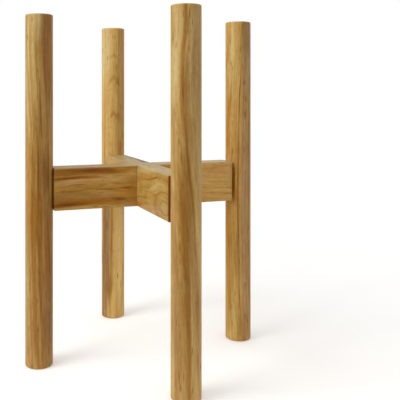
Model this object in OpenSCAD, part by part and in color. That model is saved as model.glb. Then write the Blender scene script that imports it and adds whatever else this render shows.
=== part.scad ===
// Plant stand: four round legs held apart by two halved crossbars.
// Z is up. The origin lies on the floor, under the middle of the cross.
// The lower crossbar runs along X and the upper one along Y.
// The pot stands on the cross, between the legs. The stand works either way up.

/* [Legs] */
// Diameter of a leg
leg_d = 30; // [27:0.5:40]
// Length of a leg
leg_l = 380; // [290:5:700]
// Radius of the rounded edge at each end of a leg
leg_ease = 1.5; // [0.5:0.1:4]
// Depth of the flat on a leg where a crossbar seats
seat_depth = 1; // [0.6:0.1:2.5]
// Clearance above and below a crossbar in that flat
seat_clear = 0.1; // [0.05:0.05:0.5]

/* [Crossbars] */
// Length of a crossbar, from seat to seat
bar_l = 214; // [150:1:330]
// Height of a crossbar
bar_h = 46; // [40:1:70]
// Thickness of a crossbar
bar_t = 25; // [20:0.5:27]
// Radius of the rounded edges of a crossbar
bar_ease = 1.2; // [0.4:0.1:3]
// Height of the middle of the cross above the floor
cross_z = 190.5; // [60:0.5:240]
// Clearance on each side in the halved joint
lap_clear = 0.25; // [0.1:0.05:0.6]

/* [Dowels] */
// Diameter of a dowel
dowel_d = 8; // [6:0.5:10]
// Length of a dowel that is in the leg
dowel_in_leg = 11; // [8:0.5:14]
// Length of a dowel that is in the crossbar
dowel_in_bar = 24; // [16:1:40]
// Distance between the two dowels of one joint
dowel_pitch = 22; // [14:1:26]
// Clearance round a dowel, for glue
dowel_clear = 0.1; // [0.05:0.05:0.2]
// Free space past each end of a dowel, for glue
dowel_end_gap = 0.8; // [0.3:0.1:1.5]
// Bevel at each end of a dowel
dowel_bevel = 0.8; // [0.3:0.1:1.5]
// Number of flutes along a dowel
flute_count = 12; // [8:1:16]
// Radius of a flute
flute_r = 0.4; // [0.2:0.05:0.5]

/* [Centre bolt] */
// Diameter of the bolt's shank
bolt_d = 6; // [5:0.5:8]
// Diameter of the bolt's round head
head_d = 11; // [9:0.5:12]
// Height of the bolt's head
head_h = 3.3; // [2.5:0.1:4]
// Width of the hexagon socket, between its flats
socket_w = 4; // [3:0.5:5]
// Depth of the hexagon socket
socket_depth = 2; // [1:0.1:2.2]
// Diameter of the washer
washer_d = 14; // [12.5:0.5:16]
// Thickness of the washer
washer_t = 1.2; // [0.8:0.1:2]
// Depth of the counterbore in the lower crossbar
cbore_depth = 6; // [5:0.5:8]
// Clearance round the washer in the counterbore
cbore_clear = 0.5; // [0.2:0.1:1]
// Clearance round the shank, in the crossbar and the washer
shank_clear = 0.3; // [0.2:0.05:0.5]

/* [Threaded insert] */
// Diameter of the insert's barrel
insert_d = 10; // [9.5:0.5:12]
// Length of the insert
insert_l = 13; // [10:0.5:15]
// Diameter of the insert's flange
flange_d = 13; // [12.5:0.5:16]
// Thickness of the insert's flange
flange_t = 1.5; // [1:0.1:2]
// Clearance round the insert in the upper crossbar
insert_clear = 0.1; // [0.05:0.05:0.2]
// Clearance round the shank in the insert, in place of the thread
thread_clear = 0.05; // [0.02:0.01:0.1]
// Free space past the end of the insert
insert_end_gap = 1; // [0.5:0.5:3]
// How far the tip of the bolt stops short of the insert's end
tip_short = 1; // [0.5:0.5:3]

/* [Hidden] */
$fn = 96;

// Directions from the middle of the cross to each leg, in X and Y
to_right = [1, 0];
to_back = [0, 1];
to_left = [-1, 0];
to_front = [0, -1];

// Sides of a joint, as factors on half the pitch of its dowels
top = 1;
bottom = -1;

// Cutters run past the faces they cut by this much
over = 1;

bar_end = bar_l / 2;
leg_axis = bar_end + leg_d / 2 - seat_depth;
bar_bottom_z = cross_z - bar_h / 2;
bar_top_z = cross_z + bar_h / 2;
washer_top_z = bar_bottom_z + cbore_depth;
head_top_z = washer_top_z - washer_t;
bolt_tip_z = cross_z + insert_l - tip_short;
bolt_bevel = bolt_d / 8;
head_rim_h = head_h / 4;
barrel_bevel = (flange_d - insert_d) / 4;

wood_leg = "#c9a263";
wood_bar = "#b98a45";
wood_dowel = "#dcc597";
steel = "#b9bcc0";
brass = "#c2a35a";

// Rectangle with rounded corners, centred on the origin
module rounded_rect(w, h, r) {
    square([w - 2 * r, h], center = true);
    square([w, h - 2 * r], center = true);
    for (x = [-1, 1], y = [-1, 1])
        translate([x * (w / 2 - r), y * (h / 2 - r)]) circle(r);
}

// Turns what is modelled along +X to the direction of one leg
module towards(direction) {
    rotate([0, 0, atan2(direction.y, direction.x)]) children();
}

// Centres of the two dowels of the joint at the +X end
module at_dowel(side) {
    translate([bar_end, 0, cross_z + side * dowel_pitch / 2]) rotate([0, 90, 0]) children();
}

// One leg, standing at the +X end of the crossbar, with its seat and two blind holes
module leg() {
    color(wood_leg)
    translate([leg_axis, 0, 0])
    difference() {
        rotate_extrude() {
            square([leg_d / 2 - leg_ease, leg_l]);
            translate([0, leg_ease]) square([leg_d / 2, leg_l - 2 * leg_ease]);
            for (z = [leg_ease, leg_l - leg_ease])
                translate([leg_d / 2 - leg_ease, z]) circle(leg_ease);
        }
        leg_seat();
        for (side = [top, bottom])
            translate([-leg_axis, 0, 0]) at_dowel(side)
                translate([0, 0, -over])
                    cylinder(d = dowel_d + 2 * dowel_clear, h = over + dowel_in_leg + dowel_end_gap);
    }
}

// Flat where the end of the crossbar seats, in the leg's own place
module leg_seat() {
    translate([-leg_d / 2 - over, -leg_d / 2, bar_bottom_z - seat_clear])
        cube([over + seat_depth, leg_d, bar_h + 2 * seat_clear]);
}

// Crossbar along X with all its edges rounded, and the dowel holes in both ends
module bar_blank() {
    difference() {
        translate([0, 0, cross_z])
        intersection() {
            rotate([90, 0, 90])
                linear_extrude(bar_l + 2 * over, center = true) rounded_rect(bar_t, bar_h, bar_ease);
            linear_extrude(bar_h + 2 * over, center = true) rounded_rect(bar_l, bar_t, bar_ease);
            rotate([90, 0, 0])
                linear_extrude(bar_t + 2 * over, center = true) rounded_rect(bar_l, bar_h, bar_ease);
        }
        for (direction = [to_right, to_left], side = [top, bottom])
            towards(direction) at_dowel(side)
                translate([0, 0, -dowel_in_bar - dowel_end_gap])
                    cylinder(d = dowel_d + 2 * dowel_clear, h = over + dowel_in_bar + dowel_end_gap);
    }
}

// What the halved joint takes out of a crossbar that runs along X
module lap_notch(from_z, to_z) {
    notch_w = bar_t + 2 * lap_clear;
    translate([-notch_w / 2, -bar_t / 2 - over, from_z])
        cube([notch_w, bar_t + 2 * over, to_z - from_z]);
}

// Crossbar with its notch on top, and the hole for the centre bolt
module lower_crossbar() {
    color(wood_bar)
    difference() {
        bar_blank();
        lap_notch(cross_z, bar_top_z + over);
        translate([0, 0, bar_bottom_z - over])
            cylinder(d = washer_d + 2 * cbore_clear, h = over + cbore_depth);
        translate([0, 0, bar_bottom_z]) cylinder(d = bolt_d + 2 * shank_clear, h = bar_h);
    }
}

// Crossbar with its notch below, and the hole for the threaded insert
module upper_crossbar() {
    color(wood_bar)
    difference() {
        towards(to_back) difference() {
            bar_blank();
            lap_notch(bar_bottom_z - over, cross_z);
        }
        translate([0, 0, cross_z - over])
            cylinder(d = insert_d + 2 * insert_clear, h = over + insert_l + insert_end_gap);
        translate([0, 0, cross_z - over])
            cylinder(d = flange_d + 2 * insert_clear, h = over + flange_t);
    }
}

// Fluted dowel through the joint at the +X end
module dowel(side) {
    dowel_l = dowel_in_leg + dowel_in_bar;
    color(wood_dowel)
    at_dowel(side)
        translate([0, 0, -dowel_in_bar])
        intersection() {
            linear_extrude(dowel_l) difference() {
                circle(d = dowel_d);
                for (turn = [0 : 360 / flute_count : 359])
                    rotate(turn) translate([dowel_d / 2, 0]) circle(flute_r, $fn = 24);
            }
            rotate_extrude() polygon([
                [0, 0],
                [dowel_d / 2 - dowel_bevel, 0],
                [dowel_d / 2, dowel_bevel],
                [dowel_d / 2, dowel_l - dowel_bevel],
                [dowel_d / 2 - dowel_bevel, dowel_l],
                [0, dowel_l]
            ]);
        }
}

// Bolt that stands up through the cross, its head below
module centre_bolt() {
    color(steel)
    difference() {
        union() {
            rotate_extrude() polygon([
                [0, head_top_z - head_h / 2],
                [bolt_d / 2, head_top_z - head_h / 2],
                [bolt_d / 2, bolt_tip_z - bolt_bevel],
                [bolt_d / 2 - bolt_bevel, bolt_tip_z],
                [0, bolt_tip_z]
            ]);
            bolt_head();
        }
        translate([0, 0, head_top_z - head_h - over])
            cylinder(d = socket_w / cos(30), h = over + socket_depth, $fn = 6);
    }
}

// Round head: the cap of a ball on a short rim
module bolt_head() {
    cap_h = head_h - head_rim_h;
    cap_r = (pow(head_d / 2, 2) + pow(cap_h, 2)) / (2 * cap_h);
    translate([0, 0, head_top_z - head_rim_h]) cylinder(d = head_d, h = head_rim_h);
    intersection() {
        translate([0, 0, head_top_z - head_h + cap_r]) sphere(cap_r);
        translate([0, 0, head_top_z - head_h]) cylinder(d = head_d, h = cap_h);
    }
}

// Washer between the bolt's head and the floor of the counterbore
module bolt_washer() {
    color(steel)
    translate([0, 0, head_top_z])
    difference() {
        cylinder(d = washer_d, h = washer_t);
        translate([0, 0, -over]) cylinder(d = bolt_d + 2 * shank_clear, h = washer_t + 2 * over);
    }
}

// Insert in the underside of the upper crossbar, its flange against the lower one
module threaded_insert() {
    color(brass)
    translate([0, 0, cross_z])
    difference() {
        rotate_extrude() polygon([
            [0, 0],
            [flange_d / 2, 0],
            [flange_d / 2, flange_t],
            [insert_d / 2, flange_t],
            [insert_d / 2, insert_l - barrel_bevel],
            [insert_d / 2 - barrel_bevel, insert_l],
            [0, insert_l]
        ]);
        translate([0, 0, -over]) cylinder(d = bolt_d + 2 * thread_clear, h = insert_l + 2 * over);
    }
}

towards(to_front) leg();  // leg_front
towards(to_right) leg();  // leg_right
towards(to_back) leg();  // leg_back
towards(to_left) leg();  // leg_left
lower_crossbar();
upper_crossbar();
towards(to_front) dowel(top);  // dowel_front_top
towards(to_front) dowel(bottom);  // dowel_front_bottom
towards(to_right) dowel(top);  // dowel_right_top
towards(to_right) dowel(bottom);  // dowel_right_bottom
towards(to_back) dowel(top);  // dowel_back_top
towards(to_back) dowel(bottom);  // dowel_back_bottom
towards(to_left) dowel(top);  // dowel_left_top
towards(to_left) dowel(bottom);  // dowel_left_bottom
centre_bolt();
bolt_washer();
threaded_insert();
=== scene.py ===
import inspect
import math
import random

import bpy
from mathutils import Matrix, Vector


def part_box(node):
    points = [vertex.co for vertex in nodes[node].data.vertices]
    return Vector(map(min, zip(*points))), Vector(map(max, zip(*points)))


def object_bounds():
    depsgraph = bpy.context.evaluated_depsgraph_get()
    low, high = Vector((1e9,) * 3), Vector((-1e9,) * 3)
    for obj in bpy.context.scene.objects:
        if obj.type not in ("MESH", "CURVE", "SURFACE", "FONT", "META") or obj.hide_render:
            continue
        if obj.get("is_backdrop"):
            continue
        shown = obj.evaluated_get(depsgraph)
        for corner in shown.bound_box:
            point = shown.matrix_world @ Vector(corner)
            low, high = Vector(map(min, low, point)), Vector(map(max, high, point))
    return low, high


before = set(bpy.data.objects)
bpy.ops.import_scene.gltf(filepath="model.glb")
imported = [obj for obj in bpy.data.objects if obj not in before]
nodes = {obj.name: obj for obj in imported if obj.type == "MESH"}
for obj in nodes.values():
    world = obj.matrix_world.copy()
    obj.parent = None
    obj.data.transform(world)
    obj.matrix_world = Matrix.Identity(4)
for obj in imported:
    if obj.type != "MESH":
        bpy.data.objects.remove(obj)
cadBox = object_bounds()
mm = 0.001

# the frame: floor at z = 0, lower crossbar along X, upper crossbar along Y, front leg at -Y
legLow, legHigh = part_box("leg_left")
barLow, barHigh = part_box("lower_crossbar")
# sizes of the wood in millimetres
legRadius = (legHigh.x - legLow.x) / 2 / mm
legLength = (legHigh.z - legLow.z) / mm
barLength = (barHigh.x - barLow.x) / mm
barThickness = (barHigh.y - barLow.y) / mm
print("frame loaded: legs %.0f mm long, crossbars %.0f mm" % (legLength, barLength))


# small helpers for node trees
def addNode(tree, kind, **settings):
    node = tree.nodes.new(kind)
    for name, value in settings.items():
        setattr(node, name, value)
    return node


def feed(tree, socket, value):
    # a socket is linked, anything else is typed in; a colour is typed in without its alpha
    if isinstance(value, bpy.types.NodeSocket):
        tree.links.new(value, socket)
    elif value is not None:
        socket.default_value = (*value, 1.0) if socket.type == "RGBA" else value


def feedAll(tree, inputs, values):
    # by name from a dictionary, or else in order
    if isinstance(values, dict):
        inputs = [inputs[name] for name in values]
        values = values.values()
    for socket, value in zip(inputs, values):
        feed(tree, socket, value)


def calc(tree, operation, a, b=None, c=None, clamp=False):
    node = addNode(tree, "ShaderNodeMath", operation=operation, use_clamp=clamp)
    feedAll(tree, node.inputs, (a, b, c))
    return node.outputs[0]


def calcVector(tree, operation, a, b=None, out=0):
    node = addNode(tree, "ShaderNodeVectorMath", operation=operation)
    feedAll(tree, node.inputs, (a, b))
    return node.outputs[out]


def scaleVector(tree, vector, factor):
    scaled = calcVector(tree, "SCALE", vector)
    feed(tree, scaled.node.inputs["Scale"], factor)
    return scaled


def vectorLength(tree, vector, factors=None):
    # the factors leave a direction out, or weigh it less
    if factors:
        vector = calcVector(tree, "MULTIPLY", vector, factors)
    return calcVector(tree, "LENGTH", vector, out=1)


def weigh(tree, inputs, weights, start=0.0):
    # the sum of the inputs, each times its weight
    total = start
    for value, weight in zip(inputs, weights):
        total = calc(tree, "MULTIPLY_ADD", value, weight, total)
    return total


def ramp(tree, value, low, high, toLow=0.0, toHigh=1.0):
    # soft step from low to high
    node = addNode(tree, "ShaderNodeMapRange", interpolation_type="SMOOTHSTEP")
    feedAll(tree, node.inputs, {
        "Value": value, "From Min": low, "From Max": high, "To Min": toLow, "To Max": toHigh})
    return node.outputs["Result"]


def fade(tree, value, low, high):
    # soft step down, from 1 at low to 0 at high
    return ramp(tree, value, low, high, 1.0, 0.0)


def blendColour(tree, factor, a, b):
    node = addNode(tree, "ShaderNodeMix", data_type="RGBA")
    feedAll(tree, node.inputs, {"Factor": factor, "A": a, "B": b})
    return node.outputs["Result"]


def noise(tree, position, seed, stretch, scale, detail, roughness=0.5):
    # with no position the noise runs along the seed alone
    node = addNode(tree, "ShaderNodeTexNoise", noise_dimensions="4D" if position else "1D")
    if position:
        feed(tree, node.inputs["Vector"], calcVector(tree, "MULTIPLY", position, stretch))
    feedAll(tree, node.inputs, {"W": seed, "Scale": scale, "Detail": detail, "Roughness": roughness})
    return node.outputs


def cells(tree, position, seed, stretch):
    node = addNode(tree, "ShaderNodeTexVoronoi", voronoi_dimensions="4D")
    place = calcVector(tree, "MULTIPLY", position, stretch)
    feedAll(tree, node.inputs, {"Vector": place, "W": seed, "Scale": 1.0})
    return node.outputs


def split(tree, vector):
    node = addNode(tree, "ShaderNodeSeparateXYZ")
    feed(tree, node.inputs[0], vector)
    return node.outputs


def join(tree, x, y, z):
    node = addNode(tree, "ShaderNodeCombineXYZ")
    feedAll(tree, node.inputs, (x, y, z))
    return node.outputs[0]


def mixShaders(tree, factor, first, second):
    node = addNode(tree, "ShaderNodeMixShader")
    feedAll(tree, node.inputs, (factor, first.outputs[0], second.outputs[0]))
    return node


def spreadOut(tree):
    # lays the nodes out from left to right, so the tree can be read in the editor
    depth = {}

    def depthOf(node):
        if node not in depth:
            depth[node] = 0
            depth[node] = 1 + max([depthOf(l.to_node) for o in node.outputs for l in o.links], default=-1)
        return depth[node]

    rows = {}
    for node in tree.nodes:
        column = depthOf(node)
        rows[column] = rows.get(column, 0) + 1
        node.location = (-220 * column, -190 * rows[column])


# kinds of socket by the number of parts of a value
socketKinds = {1: "NodeSocketFloat", 3: "NodeSocketVector", 4: "NodeSocketColor"}


def nodeGroup(build):
    # makes a node group of a function: the inputs are its parameters with their defaults, the outputs
    # are what it gives back by name, values all but one called colour
    tree = bpy.data.node_groups.new(build.__name__, "ShaderNodeTree")
    parameters = list(inspect.signature(build).parameters.values())[1:]
    for given in parameters:
        kind = socketKinds[len(given.default) if isinstance(given.default, tuple) else 1]
        tree.interface.new_socket(given.name, in_out="INPUT", socket_type=kind).default_value = given.default
    inputs = addNode(tree, "NodeGroupInput").outputs
    made = build(tree, **{given.name: inputs[given.name] for given in parameters})
    for name in made:
        kind = socketKinds[4 if name == "colour" else 1]
        tree.interface.new_socket(name, in_out="OUTPUT", socket_type=kind)
    feedAll(tree, addNode(tree, "NodeGroupOutput").inputs, made)
    spreadOut(tree)
    return tree


def useGroup(tree, group, given):
    # each input of the group takes what is given by its name
    node = addNode(tree, "ShaderNodeGroup", node_tree=group)
    for socket in node.inputs:
        feed(tree, socket, given.get(socket.name))
    return {socket.name: socket for socket in node.outputs}


def addObject(name, data, place):
    item = bpy.data.objects.new(name, data)
    item.location = place
    bpy.context.collection.objects.link(item)
    return item


def emptyTree(owner):
    owner.use_nodes = True
    owner.node_tree.nodes.clear()
    return owner.node_tree


def showShader(tree, shader, kind="ShaderNodeOutputMaterial"):
    feed(tree, addNode(tree, kind).inputs["Surface"], shader.outputs[0])
    spreadOut(tree)


def addSurface(tree, colour, roughness, height, look):
    # a Principled BSDF with a bump; look holds the bump's strength and its height in millimetres
    bump = addNode(tree, "ShaderNodeBump")
    depth = look["bumpHeight"] * mm
    feedAll(tree, bump.inputs, {"Strength": look["bump"], "Distance": depth, "Height": height})
    shader = addNode(tree, "ShaderNodeBsdfPrincipled")
    normal = bump.outputs["Normal"]
    feedAll(tree, shader.inputs, {"Base Color": colour, "Roughness": roughness, "Normal": normal})
    showShader(tree, shader)
    return shader


# what wood is made of, in millimetres
origin = (0, 0, 0)
acrossGrain = (1, 1, 0)


def wayFrom(tree, centre, position, warp, amount):
    # from the centre to the position, which the warp moves by its amount
    moved = calcVector(tree, "ADD", position, scaleVector(tree, warp, amount))
    return calcVector(tree, "SUBTRACT", moved, centre)


# a noise has the stretch along its axes, scale, detail and roughness
# years: how wide and narrow rings take turns, and yearSwing how much; peak and drop: where in a ring the
# late wood is darkest and where it starts to end; edge: half the width of the heartwood's border
ringLook = {"years": (None, 0.09, 1.0), "yearSwing": 1.8, "start": 0.95, "peak": 0.88, "power": 1.2,
            "drop": 0.84, "edge": 2.0}


@nodeGroup
def growthRings(tree, position=origin, warp=origin, pith=(40, 20, 0), ringWidth=4.0, lateShare=0.4,
                wander=3.0, heartRadius=30.0):
    radius = vectorLength(tree, wayFrom(tree, pith, position, warp, wander), acrossGrain)
    years = noise(tree, None, radius, *ringLook["years"])["Fac"]
    number = calc(tree, "MULTIPLY_ADD", years, ringLook["yearSwing"], calc(tree, "DIVIDE", radius, ringWidth))
    part = calc(tree, "FRACT", number)
    start = calc(tree, "MULTIPLY_ADD", lateShare, -2.0, ringLook["start"])
    rise = calc(tree, "POWER", ramp(tree, part, start, ringLook["peak"]), ringLook["power"])
    shade = addNode(tree, "ShaderNodeTexWhiteNoise", noise_dimensions="1D")
    feed(tree, shade.inputs["W"], calc(tree, "FLOOR", number))
    border = calc(tree, "SUBTRACT", radius, heartRadius)
    return {"lateWood": calc(tree, "MULTIPLY", rise, fade(tree, part, ringLook["drop"], 1.0)),
            "ringShade": shade.outputs["Value"],
            "heart": fade(tree, border, -ringLook["edge"], ringLook["edge"])}


# bow: how the ends of an arch bend; fray: how much the fibres fray the outline; spill: softness past it
streakLook = {"bow": 1.5, "fray": 0.9, "spill": 0.6}


@nodeGroup
def woodStreak(tree, position=origin, warp=origin, coarseFibre=0.5, centre=origin, reach=(3, 6, 30), arch=0.0,
               ragged=3.0, softness=0.9, strength=1.0):
    # one streak of darker or paler colour, frayed along the grain; most are wood, a few are painted shade,
    # painted light and painted sheen; with an arch its ends bend down
    scaled = calcVector(tree, "DIVIDE", wayFrom(tree, centre, position, warp, ragged), reach)
    # only vector maths here: a split or a join makes Cycles run out of stack with many streaks
    sideways = calc(tree, "ABSOLUTE", calcVector(tree, "DOT_PRODUCT", scaled, (1, 0, 0), out=1))
    bend = calc(tree, "MULTIPLY", calc(tree, "POWER", sideways, streakLook["bow"]), arch)
    distance = vectorLength(tree, calcVector(tree, "ADD", scaled, scaleVector(tree, (0, 0, 1), bend)))
    fibre = calc(tree, "SUBTRACT", coarseFibre, 0.5)
    frayed = calc(tree, "MULTIPLY_ADD", fibre, streakLook["fray"], distance)
    inner = calc(tree, "SUBTRACT", 1.0, softness)
    outer = calc(tree, "MULTIPLY_ADD", softness, streakLook["spill"], 1.0)
    return {"mask": calc(tree, "MULTIPLY", fade(tree, frayed, inner, outer), strength)}


# peak: where in a ring its line is darkest; border: where the outer edge ends; least and fray: how the
# fibres break the line up
swirlLook = {"peak": 0.92, "border": 1.04, "least": 0.25, "fray": 1.3}


@nodeGroup
def grainSwirl(tree, position=origin, warp=origin, coarseFibre=0.5, centre=origin, reach=(10, 10, 25),
               rings=2.0, lineShare=0.3, ragged=4.0):
    # closed rings of late wood round the place where a branch once pushed the grain out
    away = wayFrom(tree, centre, position, warp, ragged)
    distance = vectorLength(tree, calcVector(tree, "DIVIDE", away, reach))
    part = calc(tree, "FRACT", calc(tree, "MULTIPLY", distance, rings))
    rise = ramp(tree, part, calc(tree, "SUBTRACT", 1.0, lineShare), swirlLook["peak"])
    line = calc(tree, "MULTIPLY", rise, fade(tree, part, swirlLook["peak"], 1.0))
    inside = fade(tree, distance, 1.0, swirlLook["border"])
    frayed = calc(tree, "MULTIPLY_ADD", coarseFibre, swirlLook["fray"], swirlLook["least"])
    mask = calc(tree, "MULTIPLY", calc(tree, "MULTIPLY", line, inside), frayed, clamp=True)
    return {"mask": mask, "inside": inside}


fibreNoises = {"fibre": ((1, 1, 0.09), 1.1, 3.0, 0.6), "coarseFibre": ((1, 1, 0.09), 0.34, 3.0, 0.6),
               "spots": ((1, 1, 0.4), 0.45, 3.0, 0.6)}
# resin canals: stretch of their cells, size, and which share of them shows
canals = {"cells": (0.42, 0.42, 0.075), "size": (0.12, 0.42), "share": (0.55, 0.95)}


@nodeGroup
def woodFibre(tree, position=origin, seed=0.0):
    # fine lines along the grain, and the short dark dashes of resin canals
    made = {key: noise(tree, position, seed, *look)["Fac"] for key, look in fibreNoises.items()}
    dashes = cells(tree, position, seed, canals["cells"])
    chance = addNode(tree, "ShaderNodeSeparateColor")
    feed(tree, chance.inputs[0], dashes["Color"])
    near = fade(tree, dashes["Distance"], *canals["size"])
    made["fleck"] = calc(tree, "MULTIPLY", near, ramp(tree, chance.outputs[0], *canals["share"]))
    return made


@nodeGroup
def cutEnd(tree, position=origin, halfLength=190.0, endNear=0.1, endFar=0.8):
    # how near the surface is to a sawn end
    height = calc(tree, "ABSOLUTE", split(tree, position)["Z"])
    return {"end": fade(tree, calc(tree, "SUBTRACT", halfLength, height), endNear, endFar)}


# drift: how far heartwood clouds into sapwood; ring and cloud: least and extra share of the late colour
baseLook = {"drift": 1.2, "ring": (0.15, 1.5), "cloud": (0.4, 1.2)}


@nodeGroup
def pineBase(tree, lateWood=0.0, ringShade=0.5, heart=0.0, cloud=0.5, contrast=0.6,
             sapwood=(0.6, 0.4, 0.16, 1), heartwood=(0.4, 0.22, 0.08, 1), lateColour=(0.3, 0.14, 0.04, 1)):
    # sapwood, heartwood and the darker late wood of each ring
    drift = calc(tree, "SUBTRACT", cloud, 0.5)
    share = calc(tree, "MULTIPLY_ADD", drift, baseLook["drift"], heart, clamp=True)
    colour = blendColour(tree, share, sapwood, heartwood)
    amount = lateWood
    for value, (least, extra) in ((ringShade, baseLook["ring"]), (cloud, baseLook["cloud"])):
        amount = calc(tree, "MULTIPLY", amount, calc(tree, "MULTIPLY_ADD", value, extra, least))
    amount = calc(tree, "MULTIPLY", amount, contrast, clamp=True)
    return {"colour": blendColour(tree, amount, colour, lateColour)}


# level: how much fibre, coarse fibre, cloud and spots change the tone; height: late wood, fibre and
# fleck; dullness: fibre, end and late wood. Darker fibres are redder too, so each channel is raised to
# its own power of the level, and the varnish takes a little of the blue
finishLook = {"level": (0.6, 1.0, 0.4, 0.4), "powers": (0.58, 1.0, 1.85), "varnish": (1, 1, 0.93),
              "fleck": 0.75, "height": (0.4, 0.5, -0.6), "dullness": (0.16, 0.25, -0.05)}


@nodeGroup
def pineFinish(tree, base=(0.5, 0.3, 0.1, 1), lateWood=0.0, fibre=0.5, coarseFibre=0.5, fleck=0.0,
               spots=0.5, cloud=0.5, mottle=1.0, end=0.0, fleckColour=(0.2, 0.08, 0.01, 1),
               endColour=(0.25, 0.1, 0.03, 1)):
    # fibres, canals and cut ends over the base colour
    shares = finishLook["level"]
    level = weigh(tree, (fibre, coarseFibre, cloud, spots), shares, -0.5 * sum(shares))
    level = calc(tree, "MULTIPLY_ADD", level, mottle, 1.0)
    tints = join(tree, *(calc(tree, "POWER", level, power) for power in finishLook["powers"]))
    tints = calcVector(tree, "MULTIPLY", tints, finishLook["varnish"])
    colour = calcVector(tree, "MULTIPLY", base, tints)
    colour = blendColour(tree, calc(tree, "MULTIPLY", fleck, finishLook["fleck"]), colour, fleckColour)
    return {"colour": blendColour(tree, end, colour, endColour),
            "height": weigh(tree, (lateWood, fibre, fleck), finishLook["height"]),
            "dullness": weigh(tree, (fibre, end, lateWood), finishLook["dullness"])}


print("wood groups built")


def placeMap(tree, centre, turn):
    # position in the piece's own frame, in millimetres, with z along the grain
    coords = addNode(tree, "ShaderNodeTexCoord")
    place = addNode(tree, "ShaderNodeMapping", vector_type="TEXTURE")
    feedAll(tree, place.inputs, {"Vector": coords.outputs["Object"], "Location": centre, "Rotation": turn,
                                 "Scale": (mm, mm, mm)})
    return place.outputs["Vector"]


def driftAt(path, z):
    # how far the grain has moved sideways at the place z along the piece
    for (z0, shift0), (z1, shift1) in zip(path, path[1:]):
        if z <= z1:
            return shift0 + (shift1 - shift0) * max(z - z0, 0) / (z1 - z0)
    return path[-1][1]


def bendGrain(tree, position, path, across):
    # straightens the grain line that the path gives, so what follows can be laid out straight
    axes = split(tree, position)
    low, high = path[0][0], path[-1][0]
    reach = max(abs(shift) for z, shift in path) + 1
    curve = addNode(tree, "ShaderNodeFloatCurve")
    along = calc(tree, "SUBTRACT", axes["Z"], low)
    feed(tree, curve.inputs["Value"], calc(tree, "DIVIDE", along, high - low))
    points = curve.mapping.curves[0].points
    spots = [((z - low) / (high - low), 0.5 + shift / reach / 2) for z, shift in path]
    for spot in spots[1:-1]:
        points.new(*spot)
    points[0].location = spots[0]
    points[-1].location = spots[-1]
    curve.mapping.update()
    shift = calc(tree, "MULTIPLY", calc(tree, "SUBTRACT", curve.outputs[0], 0.5), 2 * reach)
    return join(tree, *(calc(tree, "SUBTRACT", axes[a], shift) if a == across else axes[a] for a in "XYZ"))


# colours of the wood itself, without light; a few streaks and marks use them to paint shade, light and sheen
tones = {
    "cream": (0.58, 0.44, 0.2), "straw": (0.5, 0.355, 0.135), "pale": (0.54, 0.32, 0.105),
    "honey": (0.47, 0.29, 0.09), "tan": (0.42, 0.24, 0.08), "olive": (0.39, 0.27, 0.08),
    "ash": (0.45, 0.26, 0.115), "grey": (0.36, 0.205, 0.08), "sepia": (0.32, 0.172, 0.053),
    "dusk": (0.27, 0.15, 0.068), "bark": (0.225, 0.12, 0.046), "sun": (0.72, 0.39, 0.066),
    "mustard": (0.44, 0.26, 0.04), "gold": (0.36, 0.2, 0.02), "amber": (0.44, 0.22, 0.042),
    "copper": (0.47, 0.2, 0.042), "flame": (0.46, 0.19, 0.022), "orange": (0.37, 0.165, 0.026),
    "toffee": (0.35, 0.165, 0.032), "russet": (0.34, 0.15, 0.05), "sienna": (0.37, 0.12, 0.02),
    "brown": (0.265, 0.12, 0.024), "cocoa": (0.25, 0.108, 0.03), "umber": (0.165, 0.062, 0.012),
    "ember": (0.3, 0.1, 0.006), "blaze": (0.64, 0.28, 0.028), "milk": (0.68, 0.56, 0.31),
    "butter": (0.7, 0.46, 0.17), "wax": (0.84, 0.6, 0.25), "blond": (0.6, 0.37, 0.125),
    "bronze": (0.265, 0.108, 0.01), "rust": (0.22, 0.068, 0.004), "char": (0.12, 0.034, 0.004),
    # the pale grey below paints the sheen of the crossbars' top faces
    "stone": (0.34, 0.275, 0.16),
}

# a streak as makePine takes it; streaks follow the grain, marks keep their place on the piece
streakKeys = ("position", "centre", "reach", "arch", "tone", "strength", "softness")


def makePine(name, piece, centre, turn, length):
    material = bpy.data.materials.new(name)
    tree = emptyTree(material)
    place = placeMap(tree, centre, turn)
    grain = bendGrain(tree, place, piece["path"], piece["across"])
    # what the groups can take, by the names of their inputs
    own = {**piece, "position": grain, "halfLength": length / 2}
    warp = noise(tree, grain, piece["seed"], *piece["warpNoise"])["Color"]
    own["warp"] = calcVector(tree, "SUBTRACT", warp, (0.5, 0.5, 0.5))
    own["cloud"] = noise(tree, grain, piece["seed"] + piece["cloudSeed"], *piece["cloudNoise"])["Fac"]
    own.update(useGroup(tree, woodFibre, own))
    own.update(useGroup(tree, growthRings, own))
    colour = useGroup(tree, pineBase, own)["colour"]
    for swirl in piece["swirls"]:
        made = useGroup(tree, grainSwirl, {**own, "position": place, **swirl})
        for mask, tone in (("inside", "inner"), ("mask", "line")):
            amount = calc(tree, "MULTIPLY", made[mask], swirl[tone + "Strength"])
            colour = blendColour(tree, amount, colour, tones[swirl[tone]])
    placed = [(grain, *streak) for streak in piece["streaks"]] + [(place, *mark) for mark in piece["marks"]]
    for entry in placed:
        streak = dict(zip(streakKeys, entry))
        mask = useGroup(tree, woodStreak, {**own, **streak})["mask"]
        colour = blendColour(tree, mask, colour, tones[streak["tone"]])
    end = useGroup(tree, cutEnd, {**own, "position": place})["end"]
    own["end"] = calc(tree, "MULTIPLY", end, piece["endAmount"])
    made = useGroup(tree, pineFinish, {**own, "base": colour})
    dull = calc(tree, "ADD", made["dullness"], piece["roughness"])
    shader = addSurface(tree, made["colour"], dull, made["height"], piece)
    shader.inputs["Specular IOR Level"].default_value = piece["specular"]
    return material


def dress(name, material):
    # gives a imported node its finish
    nodes[name].material_slots[0].material = material


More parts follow.
